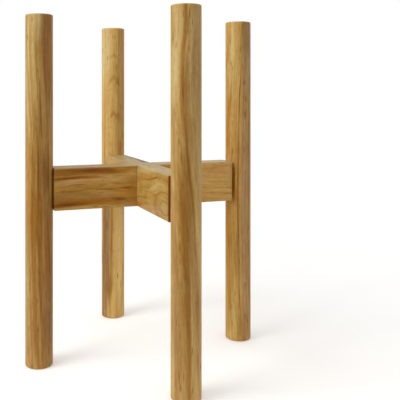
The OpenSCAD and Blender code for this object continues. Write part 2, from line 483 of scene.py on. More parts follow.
pine = {
    "sapwood": (0.45, 0.28, 0.095), "heartwood": (0.37, 0.2, 0.06), "lateColour": (0.3, 0.145, 0.032),
    "fleckColour": (0.17, 0.07, 0.016), "endColour": (0.2, 0.045, 0.006), "endAmount": 1.0,
    "roughness": 0.38, "specular": 0.15, "bump": 0.35, "bumpHeight": 0.08, "contrast": 0.5, "mottle": 1.0,
    "warpNoise": ((1, 1, 0.12), 0.06, 2.0), "cloudNoise": ((1, 1, 0.1), 0.05, 1.0), "cloudSeed": 7.0,
    "ringWidth": 4.0, "lateShare": 0.4, "wander": 4.0, "heartRadius": 30.0, "ragged": 2.5,
    "swirls": (), "arches": (), "marks": (),
}

# the four legs
# turn: degrees from the Y axis to the side of the leg that faces away from the front
# path: height, and how far the grain there has moved to the right
# streaks: right of the middle, height, half width, half length, tone, strength, softness if it isn't 0.9
# arches: right of the middle, height, half width, thickness, drop, then as in streaks
leftLeg = {
    "turn": 10.5, "seed": 1.3, "pith": (55, 10, 0), "ringWidth": 3.7, "contrast": 0.55,
    "sapwood": (0.45, 0.262, 0.078), "heartwood": (0.41, 0.215, 0.055),
    "path": ((0, 10), (30, 9.2), (60, 8.2), (100, 7.2), (130, 6.4), (160, 5.8), (205, 5.2), (240, 5),
             (260, 4), (280, 2.8), (300, 1.7), (330, 0), (380, 0)),
    "streaks": (
        (7.7, 370, 6, 95, "cocoa", 0.65, 0.3), (13.2, 330, 1.6, 120, "sienna", 0.8, 0.8),
        (11.5, 320, 2.6, 45, "sienna", 0.25), (-13.4, 316, 1.4, 34, "cream", 0.8, 0.8),
        (6, 275, 4.5, 40, "tan", 0.45, 0.8), (8, 95, 7, 105, "russet", 0.7, 0.35),
        (-9, 25, 7, 60, "sepia", 0.5, 0.8), (10, 45, 5, 60, "dusk", 0.75, 0.7),
        (-1.8, 150, 4.4, 105, "brown", 0.5), (-6.2, 140, 2.6, 80, "toffee", 0.5),
        (4.2, 196, 5, 46, "brown", 0.55), (7, 190, 4, 60, "cocoa", 0.35), (-8, 50, 6, 60, "sepia", 0.3),
        (7.3, 214, 3.8, 24, "umber", 0.7), (13.3, 110, 1.6, 70, "sienna", 0.6, 0.8),
        (5.1, 130, 2.2, 55, "tan", 0.4, 0.8), (9.5, 140, 1.5, 60, "umber", 0.35, 0.8),
        (-13.5, 345, 1.4, 70, "amber", 0.4, 0.8), (-11.6, 350, 1.4, 95, "cream", 0.95, 0.7),
        (-12.6, 280, 1.4, 50, "cream", 0.95, 0.7), (-9.6, 285, 0.9, 50, "tan", 0.7, 0.8),
        (-9.4, 350, 0.9, 60, "tan", 0.5, 0.8), (-6.7, 345, 1.8, 60, "straw", 0.8, 0.8),
        (-3, 350, 1.8, 50, "tan", 0.4, 0.8), (0.5, 355, 1.2, 60, "olive", 0.5, 0.8),
        (2, 270, 1.3, 38, "brown", 0.95, 0.6), (2.4, 264, 0.9, 28, "umber", 0.5, 0.8),
        (-4.5, 275, 1.4, 50, "olive", 0.6, 0.8), (-3.3, 252, 1.8, 28, "brown", 0.6, 0.8),
        (-7.2, 222, 1.3, 20, "brown", 0.85, 0.7), (-0.5, 205, 1.8, 50, "brown", 0.8, 0.7),
        (-0.9, 212, 1.2, 28, "umber", 0.65, 0.7), (-0.8, 154, 1.7, 28, "umber", 0.6, 0.8),
        (-6, 188, 1.2, 26, "umber", 0.45, 0.8), (-7.2, 150, 1.6, 55, "brown", 0.9, 0.7),
        (-4.6, 98, 1.5, 60, "russet", 0.85, 0.7), (-4, 60, 1, 40, "brown", 0.45, 0.8),
        (-3, 190, 1.2, 50, "mustard", 0.45, 0.8), (-2, 110, 1, 36, "straw", 0.55, 0.8),
        (0, 125, 1.2, 60, "brown", 0.85, 0.7), (2.2, 80, 0.9, 26, "umber", 0.4, 0.8),
        (-10.6, 195, 1.2, 45, "amber", 0.5, 0.8), (-9, 168, 1.1, 20, "russet", 0.6, 0.8),
        (-11.5, 85, 1.8, 70, "cream", 0.5, 0.8), (-7.3, 70, 0.9, 75, "straw", 0.6, 0.8),
        (-6, 40, 0.8, 40, "russet", 0.5, 0.8), (-1.2, 52, 1.5, 18, "honey", 0.6, 0.8),
        (-2.4, 26, 1.2, 30, "russet", 0.8, 0.7), (3.2, 30, 1.4, 42, "brown", 0.8, 0.8),
        (-4.2, 30, 1, 24, "brown", 0.6, 0.8), (-0.6, 68, 1.6, 20, "honey", 0.5, 0.8),
        (0.8, 26, 1, 28, "honey", 0.5, 0.8), (-8.8, 45, 0.7, 30, "brown", 0.4, 0.8),
        (-7, 95, 9, 95, "bronze", 0.4, 0.8), (-5.4, 95, 2.6, 75, "brown", 0.4),
        (0.2, 160, 4.5, 26, "bronze", 0.8), (-5.6, 164, 4.6, 32, "bronze", 0.5),
        (7.8, 113, 3.2, 36, "bronze", 0.6), (11.8, 84, 2, 50, "bronze", 0.5, 0.8),
        (5, 28, 5, 45, "brown", 0.45), (-11, 215, 3, 50, "amber", 0.35), (0, 100, 4, 28, "brown", 0.35),
        (2, 350, 1.8, 30, "toffee", 0.45, 0.8), (12, 18, 1.8, 46, "brown", 0.6, 0.8),
        (1.3, 187, 2.6, 68, "bronze", 0.35), (-2.9, 378, 7, 22, "cream", 0.6),
        (-3, 27, 3, 26, "brown", 0.45),
    ),
}

frontLeg = {
    "turn": 23.2, "seed": 4.1, "pith": (40, 40, 0), "ringWidth": 5.5, "contrast": 0.35,
    "heartRadius": 30.0, "sapwood": (0.53, 0.335, 0.115), "heartwood": (0.48, 0.265, 0.075),
    "path": ((0, 13.3), (60, 13.3), (80, 12.8), (100, 11.9), (120, 10.6), (140, 9.3), (160, 8), (180, 7.3),
             (200, 5.5), (220, 3.5), (240, 1.8), (260, 0), (280, -2), (305, -3), (320, -2.5),
             (335, -2), (350, -0.6), (380, 0.2)),
    "streaks": (
        (-5.9, 80, 8.5, 125, "sepia", 0.65, 0.6), (-7.6, 215, 4.5, 45, "sepia", 0.5),
        (8.1, 120, 5, 90, "sepia", 0.35), (-1.4, 176, 4.2, 58, "toffee", 0.7, 0.6),
        (1.6, 220, 4.5, 32, "toffee", 0.5), (-6.8, 84, 8, 62, "sepia", 0.35), (0.2, 68, 3, 44, "gold", 0.5),
        (-10.5, 318, 3.6, 40, "cream", 0.9, 0.8), (-13, 322, 1.8, 48, "cream", 0.85, 0.8),
        (-9, 365, 4, 30, "straw", 0.6), (-11, 352, 1.8, 9, "amber", 0.5), (-11.5, 262, 1.8, 22, "tan", 0.6),
        (10.3, 315, 4.5, 48, "russet", 0.45), (0.1, 286, 5.2, 54, "sepia", 0.7, 0.8),
        (-3.7, 300, 2.4, 118, "toffee", 0.85, 0.65), (-0.9, 356, 1.8, 42, "toffee", 0.75, 0.7),
        (-2.5, 296, 0.9, 12, "umber", 0.65, 0.8), (-2.9, 312, 1.3, 10, "brown", 0.7, 0.8),
        (1.4, 240, 1.6, 34, "brown", 0.7, 0.8), (3.6, 212, 0.9, 38, "umber", 0.7, 0.7),
        (7.1, 182, 1.6, 34, "sepia", 0.8, 0.8), (-2.2, 165, 2.3, 62, "brown", 0.9, 0.65),
        (2.1, 90, 2.5, 55, "brown", 0.9, 0.65), (2.7, 26, 1.7, 36, "toffee", 0.85, 0.7),
        (-0.6, 208, 3.6, 30, "toffee", 0.45), (2.5, 178, 3, 42, "sepia", 0.65),
        (5.1, 148, 3.4, 55, "sepia", 0.45), (3.5, 116, 1.2, 24, "brown", 0.6, 0.8),
        (0.7, 121, 1.3, 9, "umber", 0.5), (-4.2, 232, 1.4, 10, "umber", 0.55, 0.8),
        (-6.6, 224, 2, 24, "gold", 0.5), (-2.6, 207, 1.8, 4, "umber", 0.6),
        (-5.9, 147, 1.3, 7, "brown", 0.7, 0.8), (-4.3, 114, 1.7, 7, "umber", 0.45),
        (-5.7, 66, 0.9, 5, "umber", 0.5), (-6.5, 166, 1.2, 6, "brown", 0.5),
        (9.6, 140, 1.4, 40, "russet", 0.5, 0.8), (11.1, 82, 1.4, 36, "russet", 0.7, 0.8),
        (10.7, 38, 1.2, 14, "sienna", 0.7, 0.8), (11.1, 165, 1.2, 30, "straw", 0.6, 0.8),
        (6.7, 42, 1.5, 44, "straw", 0.65, 0.8), (-12.8, 35, 1.6, 32, "cream", 0.75, 0.8),
        (-12.8, 213, 1.4, 14, "cream", 0.6, 0.8), (-12.5, 160, 1.4, 40, "amber", 0.4),
        (-13.5, 90, 0.9, 60, "amber", 0.6, 0.8), (-7.4, 362, 0.7, 14, "russet", 0.8, 0.7),
        (-9.4, 341, 0.9, 4, "russet", 0.8, 0.8), (2.8, 370, 0.6, 5, "umber", 0.7, 0.7),
        (1.6, 360, 0.7, 7, "umber", 0.6, 0.8), (5.7, 362, 0.5, 5, "umber", 0.7, 0.7),
        (-11, 276, 0.8, 7, "russet", 0.7, 0.8), (-8.6, 257, 0.8, 5, "umber", 0.5, 0.8),
        (-7, 249, 0.8, 4, "umber", 0.5, 0.8), (9, 216, 0.7, 10, "umber", 0.45, 0.8),
        (-6.9, 27, 0.7, 7, "umber", 0.7, 0.8), (-2.5, 26, 0.6, 6, "umber", 0.6, 0.8),
        (-5.3, 16, 1, 4, "umber", 0.7, 0.8), (-8.9, 77, 0.8, 4, "umber", 0.5, 0.8),
        (-1.6, 206, 3.4, 46, "brown", 0.7), (3.6, 204, 5, 56, "bronze", 0.4),
        (-0.6, 160, 2.8, 48, "bronze", 0.7), (-6.9, 84, 3.7, 58, "brown", 0.35),
        (0.6, 60, 3.6, 80, "brown", 0.45), (11.8, 150, 2.4, 100, "butter", 0.75),
        (12, 290, 2.2, 80, "pale", 0.5), (2, 265, 2.4, 50, "bronze", 0.4), (6, 200, 2.2, 28, "bronze", 0.4),
        (-2, 250, 2.2, 24, "straw", 0.35), (-6, 352, 2.6, 30, "cream", 0.5),
        (-6, 150, 2.6, 30, "bronze", 0.35),
    ),
}

rightLeg = {
    "turn": 27.7, "seed": 7.7, "pith": (60, -6, 0), "ringWidth": 3.0, "contrast": 0.35,
    "sapwood": (0.55, 0.325, 0.095), "heartwood": (0.5, 0.27, 0.07),
    "path": ((0, 3.5), (30, 3), (60, 2), (90, 1.5), (120, 0.8), (160, 0), (215, 0.5), (250, 1),
             (290, 2), (310, 3), (340, 4), (380, 4.5)),
    "streaks": (
        (9.4, 250, 6.8, 170, "ash", 0.8, 0.35), (9.2, 80, 6.6, 125, "ash", 0.8, 0.35),
        # the blaze streaks at 130 and 138 mm, left of the middle, are painted light over the shadow that the
        # lower crossbar casts on the leg
        (9.8, 370, 6.4, 46, "grey", 0.8, 0.5), (-8, 138, 3.4, 50, "blaze", 0.4),
        (-12.6, 344, 1.5, 24, "amber", 0.8, 0.8), (-12.8, 305, 1.3, 30, "tan", 0.5, 0.8),
        (-12.4, 246, 1.9, 44, "flame", 0.95, 0.6), (-10.4, 276, 2.4, 14, "flame", 0.8, 0.8),
        (-12.6, 130, 2, 62, "blaze", 0.95, 0.6), (-10.4, 58, 1.9, 26, "flame", 0.75, 0.8),
        (-8.8, 45, 1.4, 16, "gold", 0.8, 0.8), (-8.8, 291, 1.4, 15, "gold", 0.85, 0.7),
        (-7, 356, 2.4, 32, "cream", 0.85, 0.8), (-9.8, 318, 1.5, 26, "cream", 0.5, 0.8),
        (-4.2, 310, 2.4, 55, "straw", 0.75, 0.8), (-4, 28, 3.2, 36, "straw", 0.8, 0.8),
        (-7.5, 14, 1.4, 18, "mustard", 0.6, 0.8), (-4, 235, 3, 50, "honey", 0.4),
        (-3, 226, 7, 24, "toffee", 0.4), (13.2, 62, 1.6, 85, "brown", 0.6, 0.8),
        (11.5, 273, 3.4, 38, "pale", 0.7), (0.1, 195, 1.3, 100, "brown", 0.85, 0.8),
        (0.3, 98, 1.2, 54, "brown", 0.7), (1.7, 42, 0.9, 36, "brown", 0.6),
        (2.2, 300, 0.8, 46, "brown", 0.6, 0.8), (-2.2, 262, 0.6, 30, "toffee", 0.5, 0.8),
        (-2.4, 92, 0.6, 30, "toffee", 0.5, 0.8), (12.3, 200, 0.9, 180, "sienna", 0.7, 0.8),
        (8, 288, 2.2, 24, "pale", 0.35), (5.8, 240, 0.6, 60, "russet", 0.5, 0.8),
        (8.7, 230, 0.9, 80, "russet", 0.4, 0.8), (8.9, 112, 0.9, 50, "russet", 0.6, 0.8),
        (7.5, 307, 1.4, 3, "umber", 0.5), (8.4, 270, 1.8, 4, "umber", 0.4), (8, 67, 1.6, 4, "umber", 0.4),
        (8, 30, 1.5, 4, "umber", 0.45), (2.3, 347, 0.8, 5, "umber", 0.5, 0.8),
        (-9.5, 357, 0.8, 5, "umber", 0.5, 0.8), (4, 350, 1.2, 40, "toffee", 0.4),
        # the ember streaks at 188 and 174 mm, left of the middle, are painted shade: the shade in the gap
        # between the lower crossbar's end and the leg
        (-5.2, 188, 2.1, 22.5, "ember", 1, 0.6), (-9.8, 5, 3, 8, "cream", 0.5),
        (4.1, 5, 6.5, 36, "sepia", 0.5), (13, 30, 5, 26, "brown", 0.35),
        (-3.4, 174, 2.8, 12, "ember", 0.6, 0.8),
    ),
}

backLeg = {
    "turn": 16.9, "seed": 9.2, "pith": (6, 60, 0), "ringWidth": 4.4, "contrast": 0.3,
    "mottle": 0.7, "sapwood": (0.61, 0.385, 0.13), "heartwood": (0.58, 0.335, 0.095),
    "path": ((0, 0), (20, 0.2), (60, 1.5), (100, 2.5), (140, 3.5), (215, 3.4), (320, 3), (380, 2.5)),
    "streaks": (
        (-8.5, 356, 6.6, 40, "cream", 0.75, 0.8), (-13, 338, 2.4, 52, "milk", 0.8, 0.8),
        (12.4, 300, 3.4, 120, "copper", 0.6, 0.6), (13, 282, 1.6, 46, "tan", 0.5, 0.8),
        (10, 222, 2.4, 14, "orange", 0.7), (3.9, 356, 0.9, 9, "toffee", 0.6),
        (7.5, 312, 1.4, 5, "brown", 0.6), (4.5, 245, 3, 24, "honey", 0.4),
        # in the lower half the dark streaks at the left edge and the broad pale streaks at the right are
        # painted shade and painted light: that half is shaded the other way round from the key light, darker
        # on the left and lighter on the right
        (-11.8, 80, 4.8, 140, "bark", 0.95, 0.5), (-7.4, 80, 3.2, 125, "dusk", 0.8, 0.8),
        (-3.4, 85, 2.8, 125, "sepia", 0.7, 0.8), (-0.8, 79, 1.8, 30, "sepia", 0.5),
        (-2.4, 42, 2.4, 16, "brown", 0.7, 0.8), (9.6, 116, 2.8, 46, "sun", 0.8, 0.8),
        (6.2, 62, 3.2, 54, "butter", 0.85, 0.8), (-6.8, 70, 1.1, 70, "brown", 0.4, 0.8),
        (-2.2, 100, 1.2, 60, "brown", 0.55, 0.8), (-7.6, 122, 1.2, 7, "umber", 0.45),
        (9, 75, 1.4, 80, "cream", 0.7, 0.7), (5.4, 52, 2.4, 30, "straw", 0.6),
        (12.2, 95, 2.2, 75, "sun", 0.9, 0.7), (11.4, 128, 1.2, 20, "pale", 0.5, 0.8),
        (9.4, 134, 1.4, 18, "mustard", 0.5, 0.8), (2.6, 315, 4, 26, "honey", 0.4),
        # these three pale streaks are painted light on the right of the lower half
        (8.4, 125, 5, 52, "wax", 0.8, 0.8), (9.9, 70, 3.4, 52, "wax", 0.75, 0.8),
        (6.6, 52, 3.5, 18, "wax", 0.5), (4, 318, 6, 30, "mustard", 0.25), (-7.8, 38, 4.6, 12, "brown", 0.6),
        (-9, 270, 5, 52, "honey", 0.3), (12.4, 265, 2.4, 90, "sun", 0.3), (-8, 48, 5, 26, "brown", 0.3),
        (12.2, 159, 5, 9, "copper", 0.8), (13.4, 62, 0.9, 22, "flame", 0.85, 0.8),
        (10.4, 45, 0.7, 7, "umber", 0.6, 0.8),
    ),
    "arches": (
        (0.8, 315, 8, 4, 9, "orange", 0.55, 1), (5.4, 309.5, 3.4, 3, 4, "orange", 0.5),
        (0.8, 268, 7.5, 3.8, 8, "orange", 0.55, 1), (6.6, 267, 5, 2.6, 8, "orange", 0.5),
        (0.5, 344, 5.5, 3, 4, "toffee", 0.5), (-2, 300, 9, 1.6, 5, "tan", 0.3),
        (-4, 251, 8, 1.5, 5, "tan", 0.3),
    ),
}

# what all legs share
legWood = {"across": "X", "heartRadius": 20.0, "endColour": (0.34, 0.18, 0.06), "endAmount": 0.45,
           "endNear": 0.1, "endFar": 0.8}
# streaks of the side that the photograph hides: degrees round the leg, height from its middle, sizes
farSide = {
    "count": 9, "around": (-70, 70), "height": (-170, 170), "halfWidth": (0.8, 3.2), "halfLength": (25, 110),
    "tones": ("cream", "straw", "tan", "russet", "brown", "brown", "amber", "umber"),
    "strength": 0.7, "umberStrength": 0.45, "softness": 0.8,
}


def seenPlace(piece, across, height):
    # a place on the side of the leg that is seen, with the grain straightened
    return (across - driftAt(piece["path"], height), -legRadius, height - legLength / 2)


def legStreaks(piece):
    # streaks start at the surface of the leg that is seen and run as deep as its middle
    placed = []
    for across, height, halfWidth, halfLength, *look in piece["streaks"]:
        placed.append((seenPlace(piece, across, height), (halfWidth, legRadius, halfLength), 0.0, *look))
    for across, height, halfWidth, thickness, drop, *look in piece["arches"]:
        reach = (halfWidth, legRadius, thickness)
        placed.append((seenPlace(piece, across, height), reach, drop / thickness, *look))
    return placed


def farStreaks(seed):
    # the hidden side gets streaks of its own
    draw = random.Random(seed)
    placed = []
    for number in range(farSide["count"]):
        around = math.radians(draw.uniform(*farSide["around"]))
        centre = (legRadius * math.sin(around), legRadius, draw.uniform(*farSide["height"]))
        reach = (draw.uniform(*farSide["halfWidth"]), legRadius, draw.uniform(*farSide["halfLength"]))
        tone = draw.choice(farSide["tones"])
        strength = farSide["umberStrength"] if tone == "umber" else farSide["strength"]
        placed.append((centre, reach, 0.0, tone, strength, farSide["softness"]))
    return placed


legs = {"leg_left": leftLeg, "leg_front": frontLeg, "leg_right": rightLeg, "leg_back": backLeg}
for name, own in legs.items():
    piece = {**pine, **legWood, **own}
    piece["streaks"] = legStreaks(piece) + farStreaks(name)
    piece["path"] = tuple((height - legLength / 2, shift) for height, shift in piece["path"])
    low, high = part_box(name)
    turn = (0, 0, -math.radians(piece["turn"]))
    dress(name, makePine(name + "Pine", piece, (low + high) / 2, turn, legLength))
print("legs dressed")

# the two crossbars
# axes: the piece's own x, y and z in the frame, with y up, z along the bar and the seen side at -x
# path: place along, and how far the grain there has moved up
# streaks: height above the middle, place along, half height, half length, then as for the legs
# hiddenStreaks: the same, on the side that doesn't show
# marks: x, height and place along, half width, half height, half length, then as for the legs
lowerBar = {
    "axes": ((0, 1, 0), (0, 0, 1), (1, 0, 0)), "seed": 12.5, "pith": (-3, -70, 0), "ringWidth": 6,
    "contrast": 0.3, "endAmount": 0.25, "sapwood": (0.49, 0.25, 0.045), "heartwood": (0.46, 0.22, 0.036),
    "path": ((-107, -1), (-60, 0.6), (-20, -0.6), (40, 0), (107, -1.5)),
    "streaks": (
        (0, 92, 30, 75, "blond", 0.86, 0.6), (15, 92, 5, 30, "pale", 0.5), (14, 74, 5, 20, "copper", 0.35),
        (13.5, 97, 2.6, 22, "copper", 0.45), (18.2, -84, 5.4, 50, "bronze", 0.65, 0.8),
        (-7, -90, 6.5, 26, "bronze", 0.65), (-13, -100, 6, 26, "bronze", 0.4),
        (4, 106, 30, 3, "russet", 0.4), (-3, -71, 9, 32, "gold", 0.4), (6, -42, 3.4, 20, "ash", 0.5),
        (-11, -27, 4.5, 12, "flame", 0.65), (-6, -92, 6, 26, "sepia", 0.45),
        (18.5, -94, 4.2, 32, "bronze", 0.8, 0.8), (-16.5, -101, 3.6, 22, "ember", 0.6, 0.8),
        (9, -45, 5.5, 38, "pale", 0.75), (13, -32, 3, 13, "pale", 0.6), (6, -92, 4, 30, "ash", 0.6),
        (19.2, -62, 2.5, 22, "rust", 1, 0.7), (17.8, -49, 2.5, 18, "rust", 0.85, 0.6),
        (19.4, -63, 1.2, 12, "char", 0.5), (21.8, -52, 1.1, 28, "rust", 0.8, 0.7),
        (21.6, -28, 0.8, 16, "ember", 0.8, 0.7), (15, -15, 5, 9, "butter", 0.6),
        (-6, -52, 5, 14, "pale", 0.45), (11, -42, 5, 22, "straw", 0.4), (0, -20, 12, 9, "mustard", 0.4),
        (-16, -103, 7, 12, "umber", 0.36), (5, 104, 7, 8, "cream", 0.3), (20, -33, 3, 9, "blaze", 0.3),
        (18, -54, 4, 17, "ember", 0.4), (10, -102, 6, 12, "bronze", 0.3),
        (11.6, -88, 2, 26, "bronze", 0.9, 0.7), (11.4, -88, 1.4, 20, "rust", 1, 0.6),
        (11.4, -66, 1.2, 14, "toffee", 0.8, 0.8), (3.5, -82, 0.8, 9, "brown", 0.8, 0.8),
        (3.4, -52, 0.7, 6, "brown", 0.7, 0.8), (4, -36, 0.8, 6, "brown", 0.6, 0.8),
        (-2.2, -48, 1.1, 15, "umber", 0.8, 0.8), (-1.4, -68, 0.9, 15, "brown", 0.6, 0.8),
        (-3.4, -88, 1.2, 18, "brown", 0.8, 0.8), (-1.3, -25, 1.4, 8, "umber", 0.85, 0.8),
        (-6, -23, 4.5, 13, "flame", 0.4), (-16.8, -90, 3.3, 34, "ember", 1, 0.7),
        (-17.8, -93, 2.2, 22, "char", 0.7, 0.8), (-13.9, -62, 2.9, 28, "ember", 0.9, 0.8),
        (-14.8, -34, 4.5, 38, "bronze", 0.35), (-13.5, -33, 1.8, 10, "umber", 0.9, 0.8),
        (-12, -60, 1, 24, "brown", 0.7, 0.8), (-20.6, -55, 1.5, 44, "straw", 0.6, 0.8),
        (-6, -62, 6.5, 46, "sepia", 0.3), (-5, -17, 14, 7, "toffee", 0.45), (-18, -23, 3, 10, "ash", 0.5),
        (-7, 88, 1, 24, "toffee", 0.3, 0.8), (-12.8, 84, 2, 28, "copper", 0.7),
        (-14.6, 102, 0.9, 10, "brown", 0.4, 0.8), (14, 90, 4, 34, "copper", 0.35),
        (8, 40, 1.2, 26, "brown", 0.5, 0.8),
    ),
    "hiddenStreaks": (
        (18, -60, 2.4, 30, "rust", 0.8, 0.8), (12, 40, 1.4, 36, "brown", 0.8, 0.8),
        (6, -30, 3, 40, "pale", 0.6), (-3, 74, 1, 18, "umber", 0.7, 0.8),
        (-5, -80, 0.9, 16, "umber", 0.7, 0.8), (-15, 30, 2.4, 44, "rust", 0.7, 0.8),
        (-13, -70, 2, 26, "char", 0.7, 0.8),
    ),
    # the mark along the whole top face is a painted sheen: the pale grey reflection of the top
    "marks": ((0, 23, 0, 40, 1.5, 200, "stone", 0.6, 0.5),),
}

upperBar = {
    "axes": ((1, 0, 0), (0, 0, 1), (0, -1, 0)), "seed": 15.5, "pith": (-110, -12, 0), "ringWidth": 9.0,
    "contrast": 0.25, "sapwood": (0.455, 0.285, 0.078), "heartwood": (0.43, 0.25, 0.06), "ragged": 2.0,
    "path": ((-107, 6), (12, 8), (30, 10.3), (50, 12), (62, 14), (70, 16), (80, 17.8), (92, 18),
             (107, 16)),
    "swirls": ({"centre": (-12.5, -10.5, 97), "reach": (12, 16.5, 31), "rings": 2, "lineShare": 0.42,
                "ragged": 4, "inner": "olive", "innerStrength": 0.55, "line": "toffee",
                "lineStrength": 0.95},),
    "streaks": (
        (16, 26, 3.2, 18, "honey", 0.6), (8.2, 16, 3, 18, "flame", 0.7), (14, 14, 5, 9, "blond", 0.6),
        (14, 62, 1.2, 58, "orange", 0.95, 0.6), (15, 66, 0.8, 16, "brown", 0.5, 0.8),
        (-19, 20, 2.6, 22, "flame", 0.9, 0.8), (-4, 13, 9, 8, "blond", 0.7), (21, 40, 3, 60, "cream", 0.5),
        (-2, 24, 8, 12, "mustard", 0.45), (7, 68, 4.5, 12, "milk", 0.3),
        # the umber and char streaks at 106.4 along, at the end by the front leg, are painted shade: they
        # widen the shaded gap between the bar's end and the leg
        (-14, 106.4, 9, 2.4, "umber", 0.6, 0.8), (-6.5, 72, 7, 12, "toffee", 0.4),
        (-13, 76, 3, 9, "brown", 0.35), (0, 106.4, 30, 1.1, "char", 0.9, 0.5),
        (-11, 14, 1.4, 7, "brown", 0.5, 0.8), (10, 84, 4.5, 26, "straw", 0.5),
        (4, 66, 5, 14, "straw", 0.35), (-2, 42, 1.3, 7, "brown", 0.6), (-8.5, 38, 1.8, 5, "brown", 0.6),
        (-14, 44, 1.8, 8, "brown", 0.55), (6, 54, 0.9, 12, "brown", 0.5, 0.8),
        (3.4, 48, 0.7, 9, "brown", 0.5, 0.8), (9, 66, 1.2, 8, "toffee", 0.4),
        (-18, 62, 2.4, 16, "ash", 0.6), (20, 92, 2, 22, "olive", 0.5), (-8, 70.5, 8.5, 2.8, "orange", 0.9),
        (-18, 79, 3.6, 12, "russet", 0.4), (4, 105, 20, 6, "brown", 0.35),
        (14, 94, 0.7, 7, "toffee", 0.5, 0.8), (12, -60, 1.4, 40, "orange", 0.7, 0.8),
        (-8, -64, 2.4, 34, "brown", 0.6, 0.8),
    ),
    "hiddenStreaks": (
        (10, 30, 1.6, 46, "brown", 0.8, 0.8), (-12, -30, 2, 44, "orange", 0.7, 0.8),
        (2, 70, 0.9, 20, "umber", 0.6, 0.8), (-6, -78, 0.8, 16, "umber", 0.6, 0.8),
    ),
    "marks": (
        # the first mark, along the whole top face, is a painted sheen: the pale grey reflection of the top
        (0, 23, 0, 40, 1.5, 200, "stone", 0.5, 0.5), (13, 23, -23, 9.5, 2.8, 14, "char", 1, 0.35),
        (13, 23, -42, 7, 2.2, 13, "char", 1, 0.4), (13, 23, -64, 8.5, 2.4, 17, "umber", 1, 0.45),
        (13, 23, -88, 5, 1.6, 16, "umber", 0.9, 0.6),
    ),
}

# what both crossbars share
barWood = {"across": "Y", "endNear": 0.3, "endFar": 1.3}


def barStreaks(piece):
    # streaks start at the side of the bar that they are on and run as deep as its middle
    depth = barThickness / 2
    placed = []
    for side, key in ((-depth, "streaks"), (depth, "hiddenStreaks")):
        for up, along, halfHeight, halfLength, *look in piece[key]:
            centre = (side, up - driftAt(piece["path"], along), along)
            placed.append((centre, (depth, halfHeight, halfLength), 0.0, *look))
    return placed


for name, own in (("lower_crossbar", lowerBar), ("upper_crossbar", upperBar)):
    piece = {**pine, **barWood, **own}
    piece["streaks"] = barStreaks(piece)
    piece["marks"] = [(mark[:3], mark[3:6], 0.0, *mark[6:]) for mark in piece["marks"]]
    low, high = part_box(name)
    turn = Matrix(piece["axes"]).transposed().to_euler()
    dress(name, makePine(name + "Pine", piece, (low + high) / 2, turn, barLength))
print("crossbars dressed")


# the parts inside the joints
# groove: where on the wave it starts and is deepest; cells and fleck: stretch and size of the ray flecks
dowelLook = {"groove": (0.2, 0.9), "cells": (2.2, 2.2, 0.7), "fleck": (0.1, 0.4),
             "grain": ((1, 1, 0.1), 1.2, 3.0, 0.6)}


@nodeGroup
def beechDowel(tree, position=origin, grooves=12.0, seed=0.0):
    # the pressed grooves of a dowel, and the flecks of beech
    axes = split(tree, position)
    angle = calc(tree, "ARCTAN2", axes["Y"], axes["X"])
    wave = calc(tree, "COSINE", calc(tree, "MULTIPLY", angle, grooves))
    flecks = cells(tree, position, seed, dowelLook["cells"])
    return {"groove": ramp(tree, wave, *dowelLook["groove"]),
            "rayFleck": fade(tree, flecks["Distance"], *dowelLook["fleck"]),
            "grain": noise(tree, position, seed, *dowelLook["grain"])["Fac"]}


metalNoises = {"wobble": ((1, 1, 1), 0.6, 1.0), "cloud": ((1, 1, 1), 0.35, 3.0, 0.6),
               "lines": ((0.3, 4.0, 2.0), 1.5, 4.0, 0.7)}
# from where to where a line shows as a scratch
scratchRange = (0.45, 0.75)


@nodeGroup
def machinedMetal(tree, position=origin, rings=9.0, seed=0.0):
    # turning rings, plating cloud and fine scratches of a small metal part
    made = {key: noise(tree, position, seed, *look)["Fac"] for key, look in metalNoises.items()}
    radius = calc(tree, "ADD", vectorLength(tree, position, acrossGrain), made["wobble"])
    turns = calc(tree, "SINE", calc(tree, "MULTIPLY", radius, rings))
    return {"turning": ramp(tree, turns, -1.0, 1.0), "cloud": made["cloud"],
            "scratch": ramp(tree, made["lines"], *scratchRange)}


def makeBeech(name, piece, centre, turn):
    material = bpy.data.materials.new(name)
    tree = emptyTree(material)
    made = useGroup(tree, beechDowel, {**piece, "position": placeMap(tree, centre, turn)})
    colour = blendColour(tree, made["grain"], piece["pale"], piece["deep"])
    for key in ("rayFleck", "groove"):
        amount = calc(tree, "MULTIPLY", made[key], piece[key + "Amount"])
        colour = blendColour(tree, amount, colour, piece[key])
    dull = weigh(tree, (made["grain"],), piece["dullness"], piece["roughness"])
    addSurface(tree, colour, dull, calc(tree, "SUBTRACT", 1.0, made["groove"]), piece)
    return material


def makeMetal(name, piece, centre):
    material = bpy.data.materials.new(name)
    tree = emptyTree(material)
    made = useGroup(tree, machinedMetal, {**piece, "position": placeMap(tree, centre, (0, 0, 0))})
    colour = blendColour(tree, made["cloud"], piece["bright"], piece["dull"])
    amount = calc(tree, "MULTIPLY", made["scratch"], piece["scratchAmount"])
    colour = blendColour(tree, amount, colour, piece["scratch"])
    dull = weigh(tree, (made["cloud"], made["scratch"]), piece["dullness"], piece["roughness"])
    shader = addSurface(tree, colour, dull, calc(tree, "SUBTRACT", made["turning"], made["scratch"]), piece)
    shader.inputs["Metallic"].default_value = 1.0
    return material


# the first dowel's seed lies one seedStep above this one, the next dowel's one more
beech = {"grooves": 12.0, "seed": 3.0, "seedStep": 1.7, "pale": (0.62, 0.42, 0.22),
         "deep": (0.5, 0.3, 0.14), "rayFleck": (0.38, 0.2, 0.09), "rayFleckAmount": 0.6,
         "groove": (0.33, 0.18, 0.08), "grooveAmount": 0.5, "dullness": (0.2,), "roughness": 0.55,
         "bump": 0.8, "bumpHeight": 0.25}
alongX = (0, math.pi / 2, 0)
alongY = (math.pi / 2, 0, 0)
for side, turn in (("left", alongX), ("right", alongX), ("front", alongY), ("back", alongY)):
    for level in ("top", "bottom"):
        name = "dowel_%s_%s" % (side, level)
        low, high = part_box(name)
        beech["seed"] += beech["seedStep"]
        dress(name, makeBeech(name + "Beech", beech, (low + high) / 2, turn))

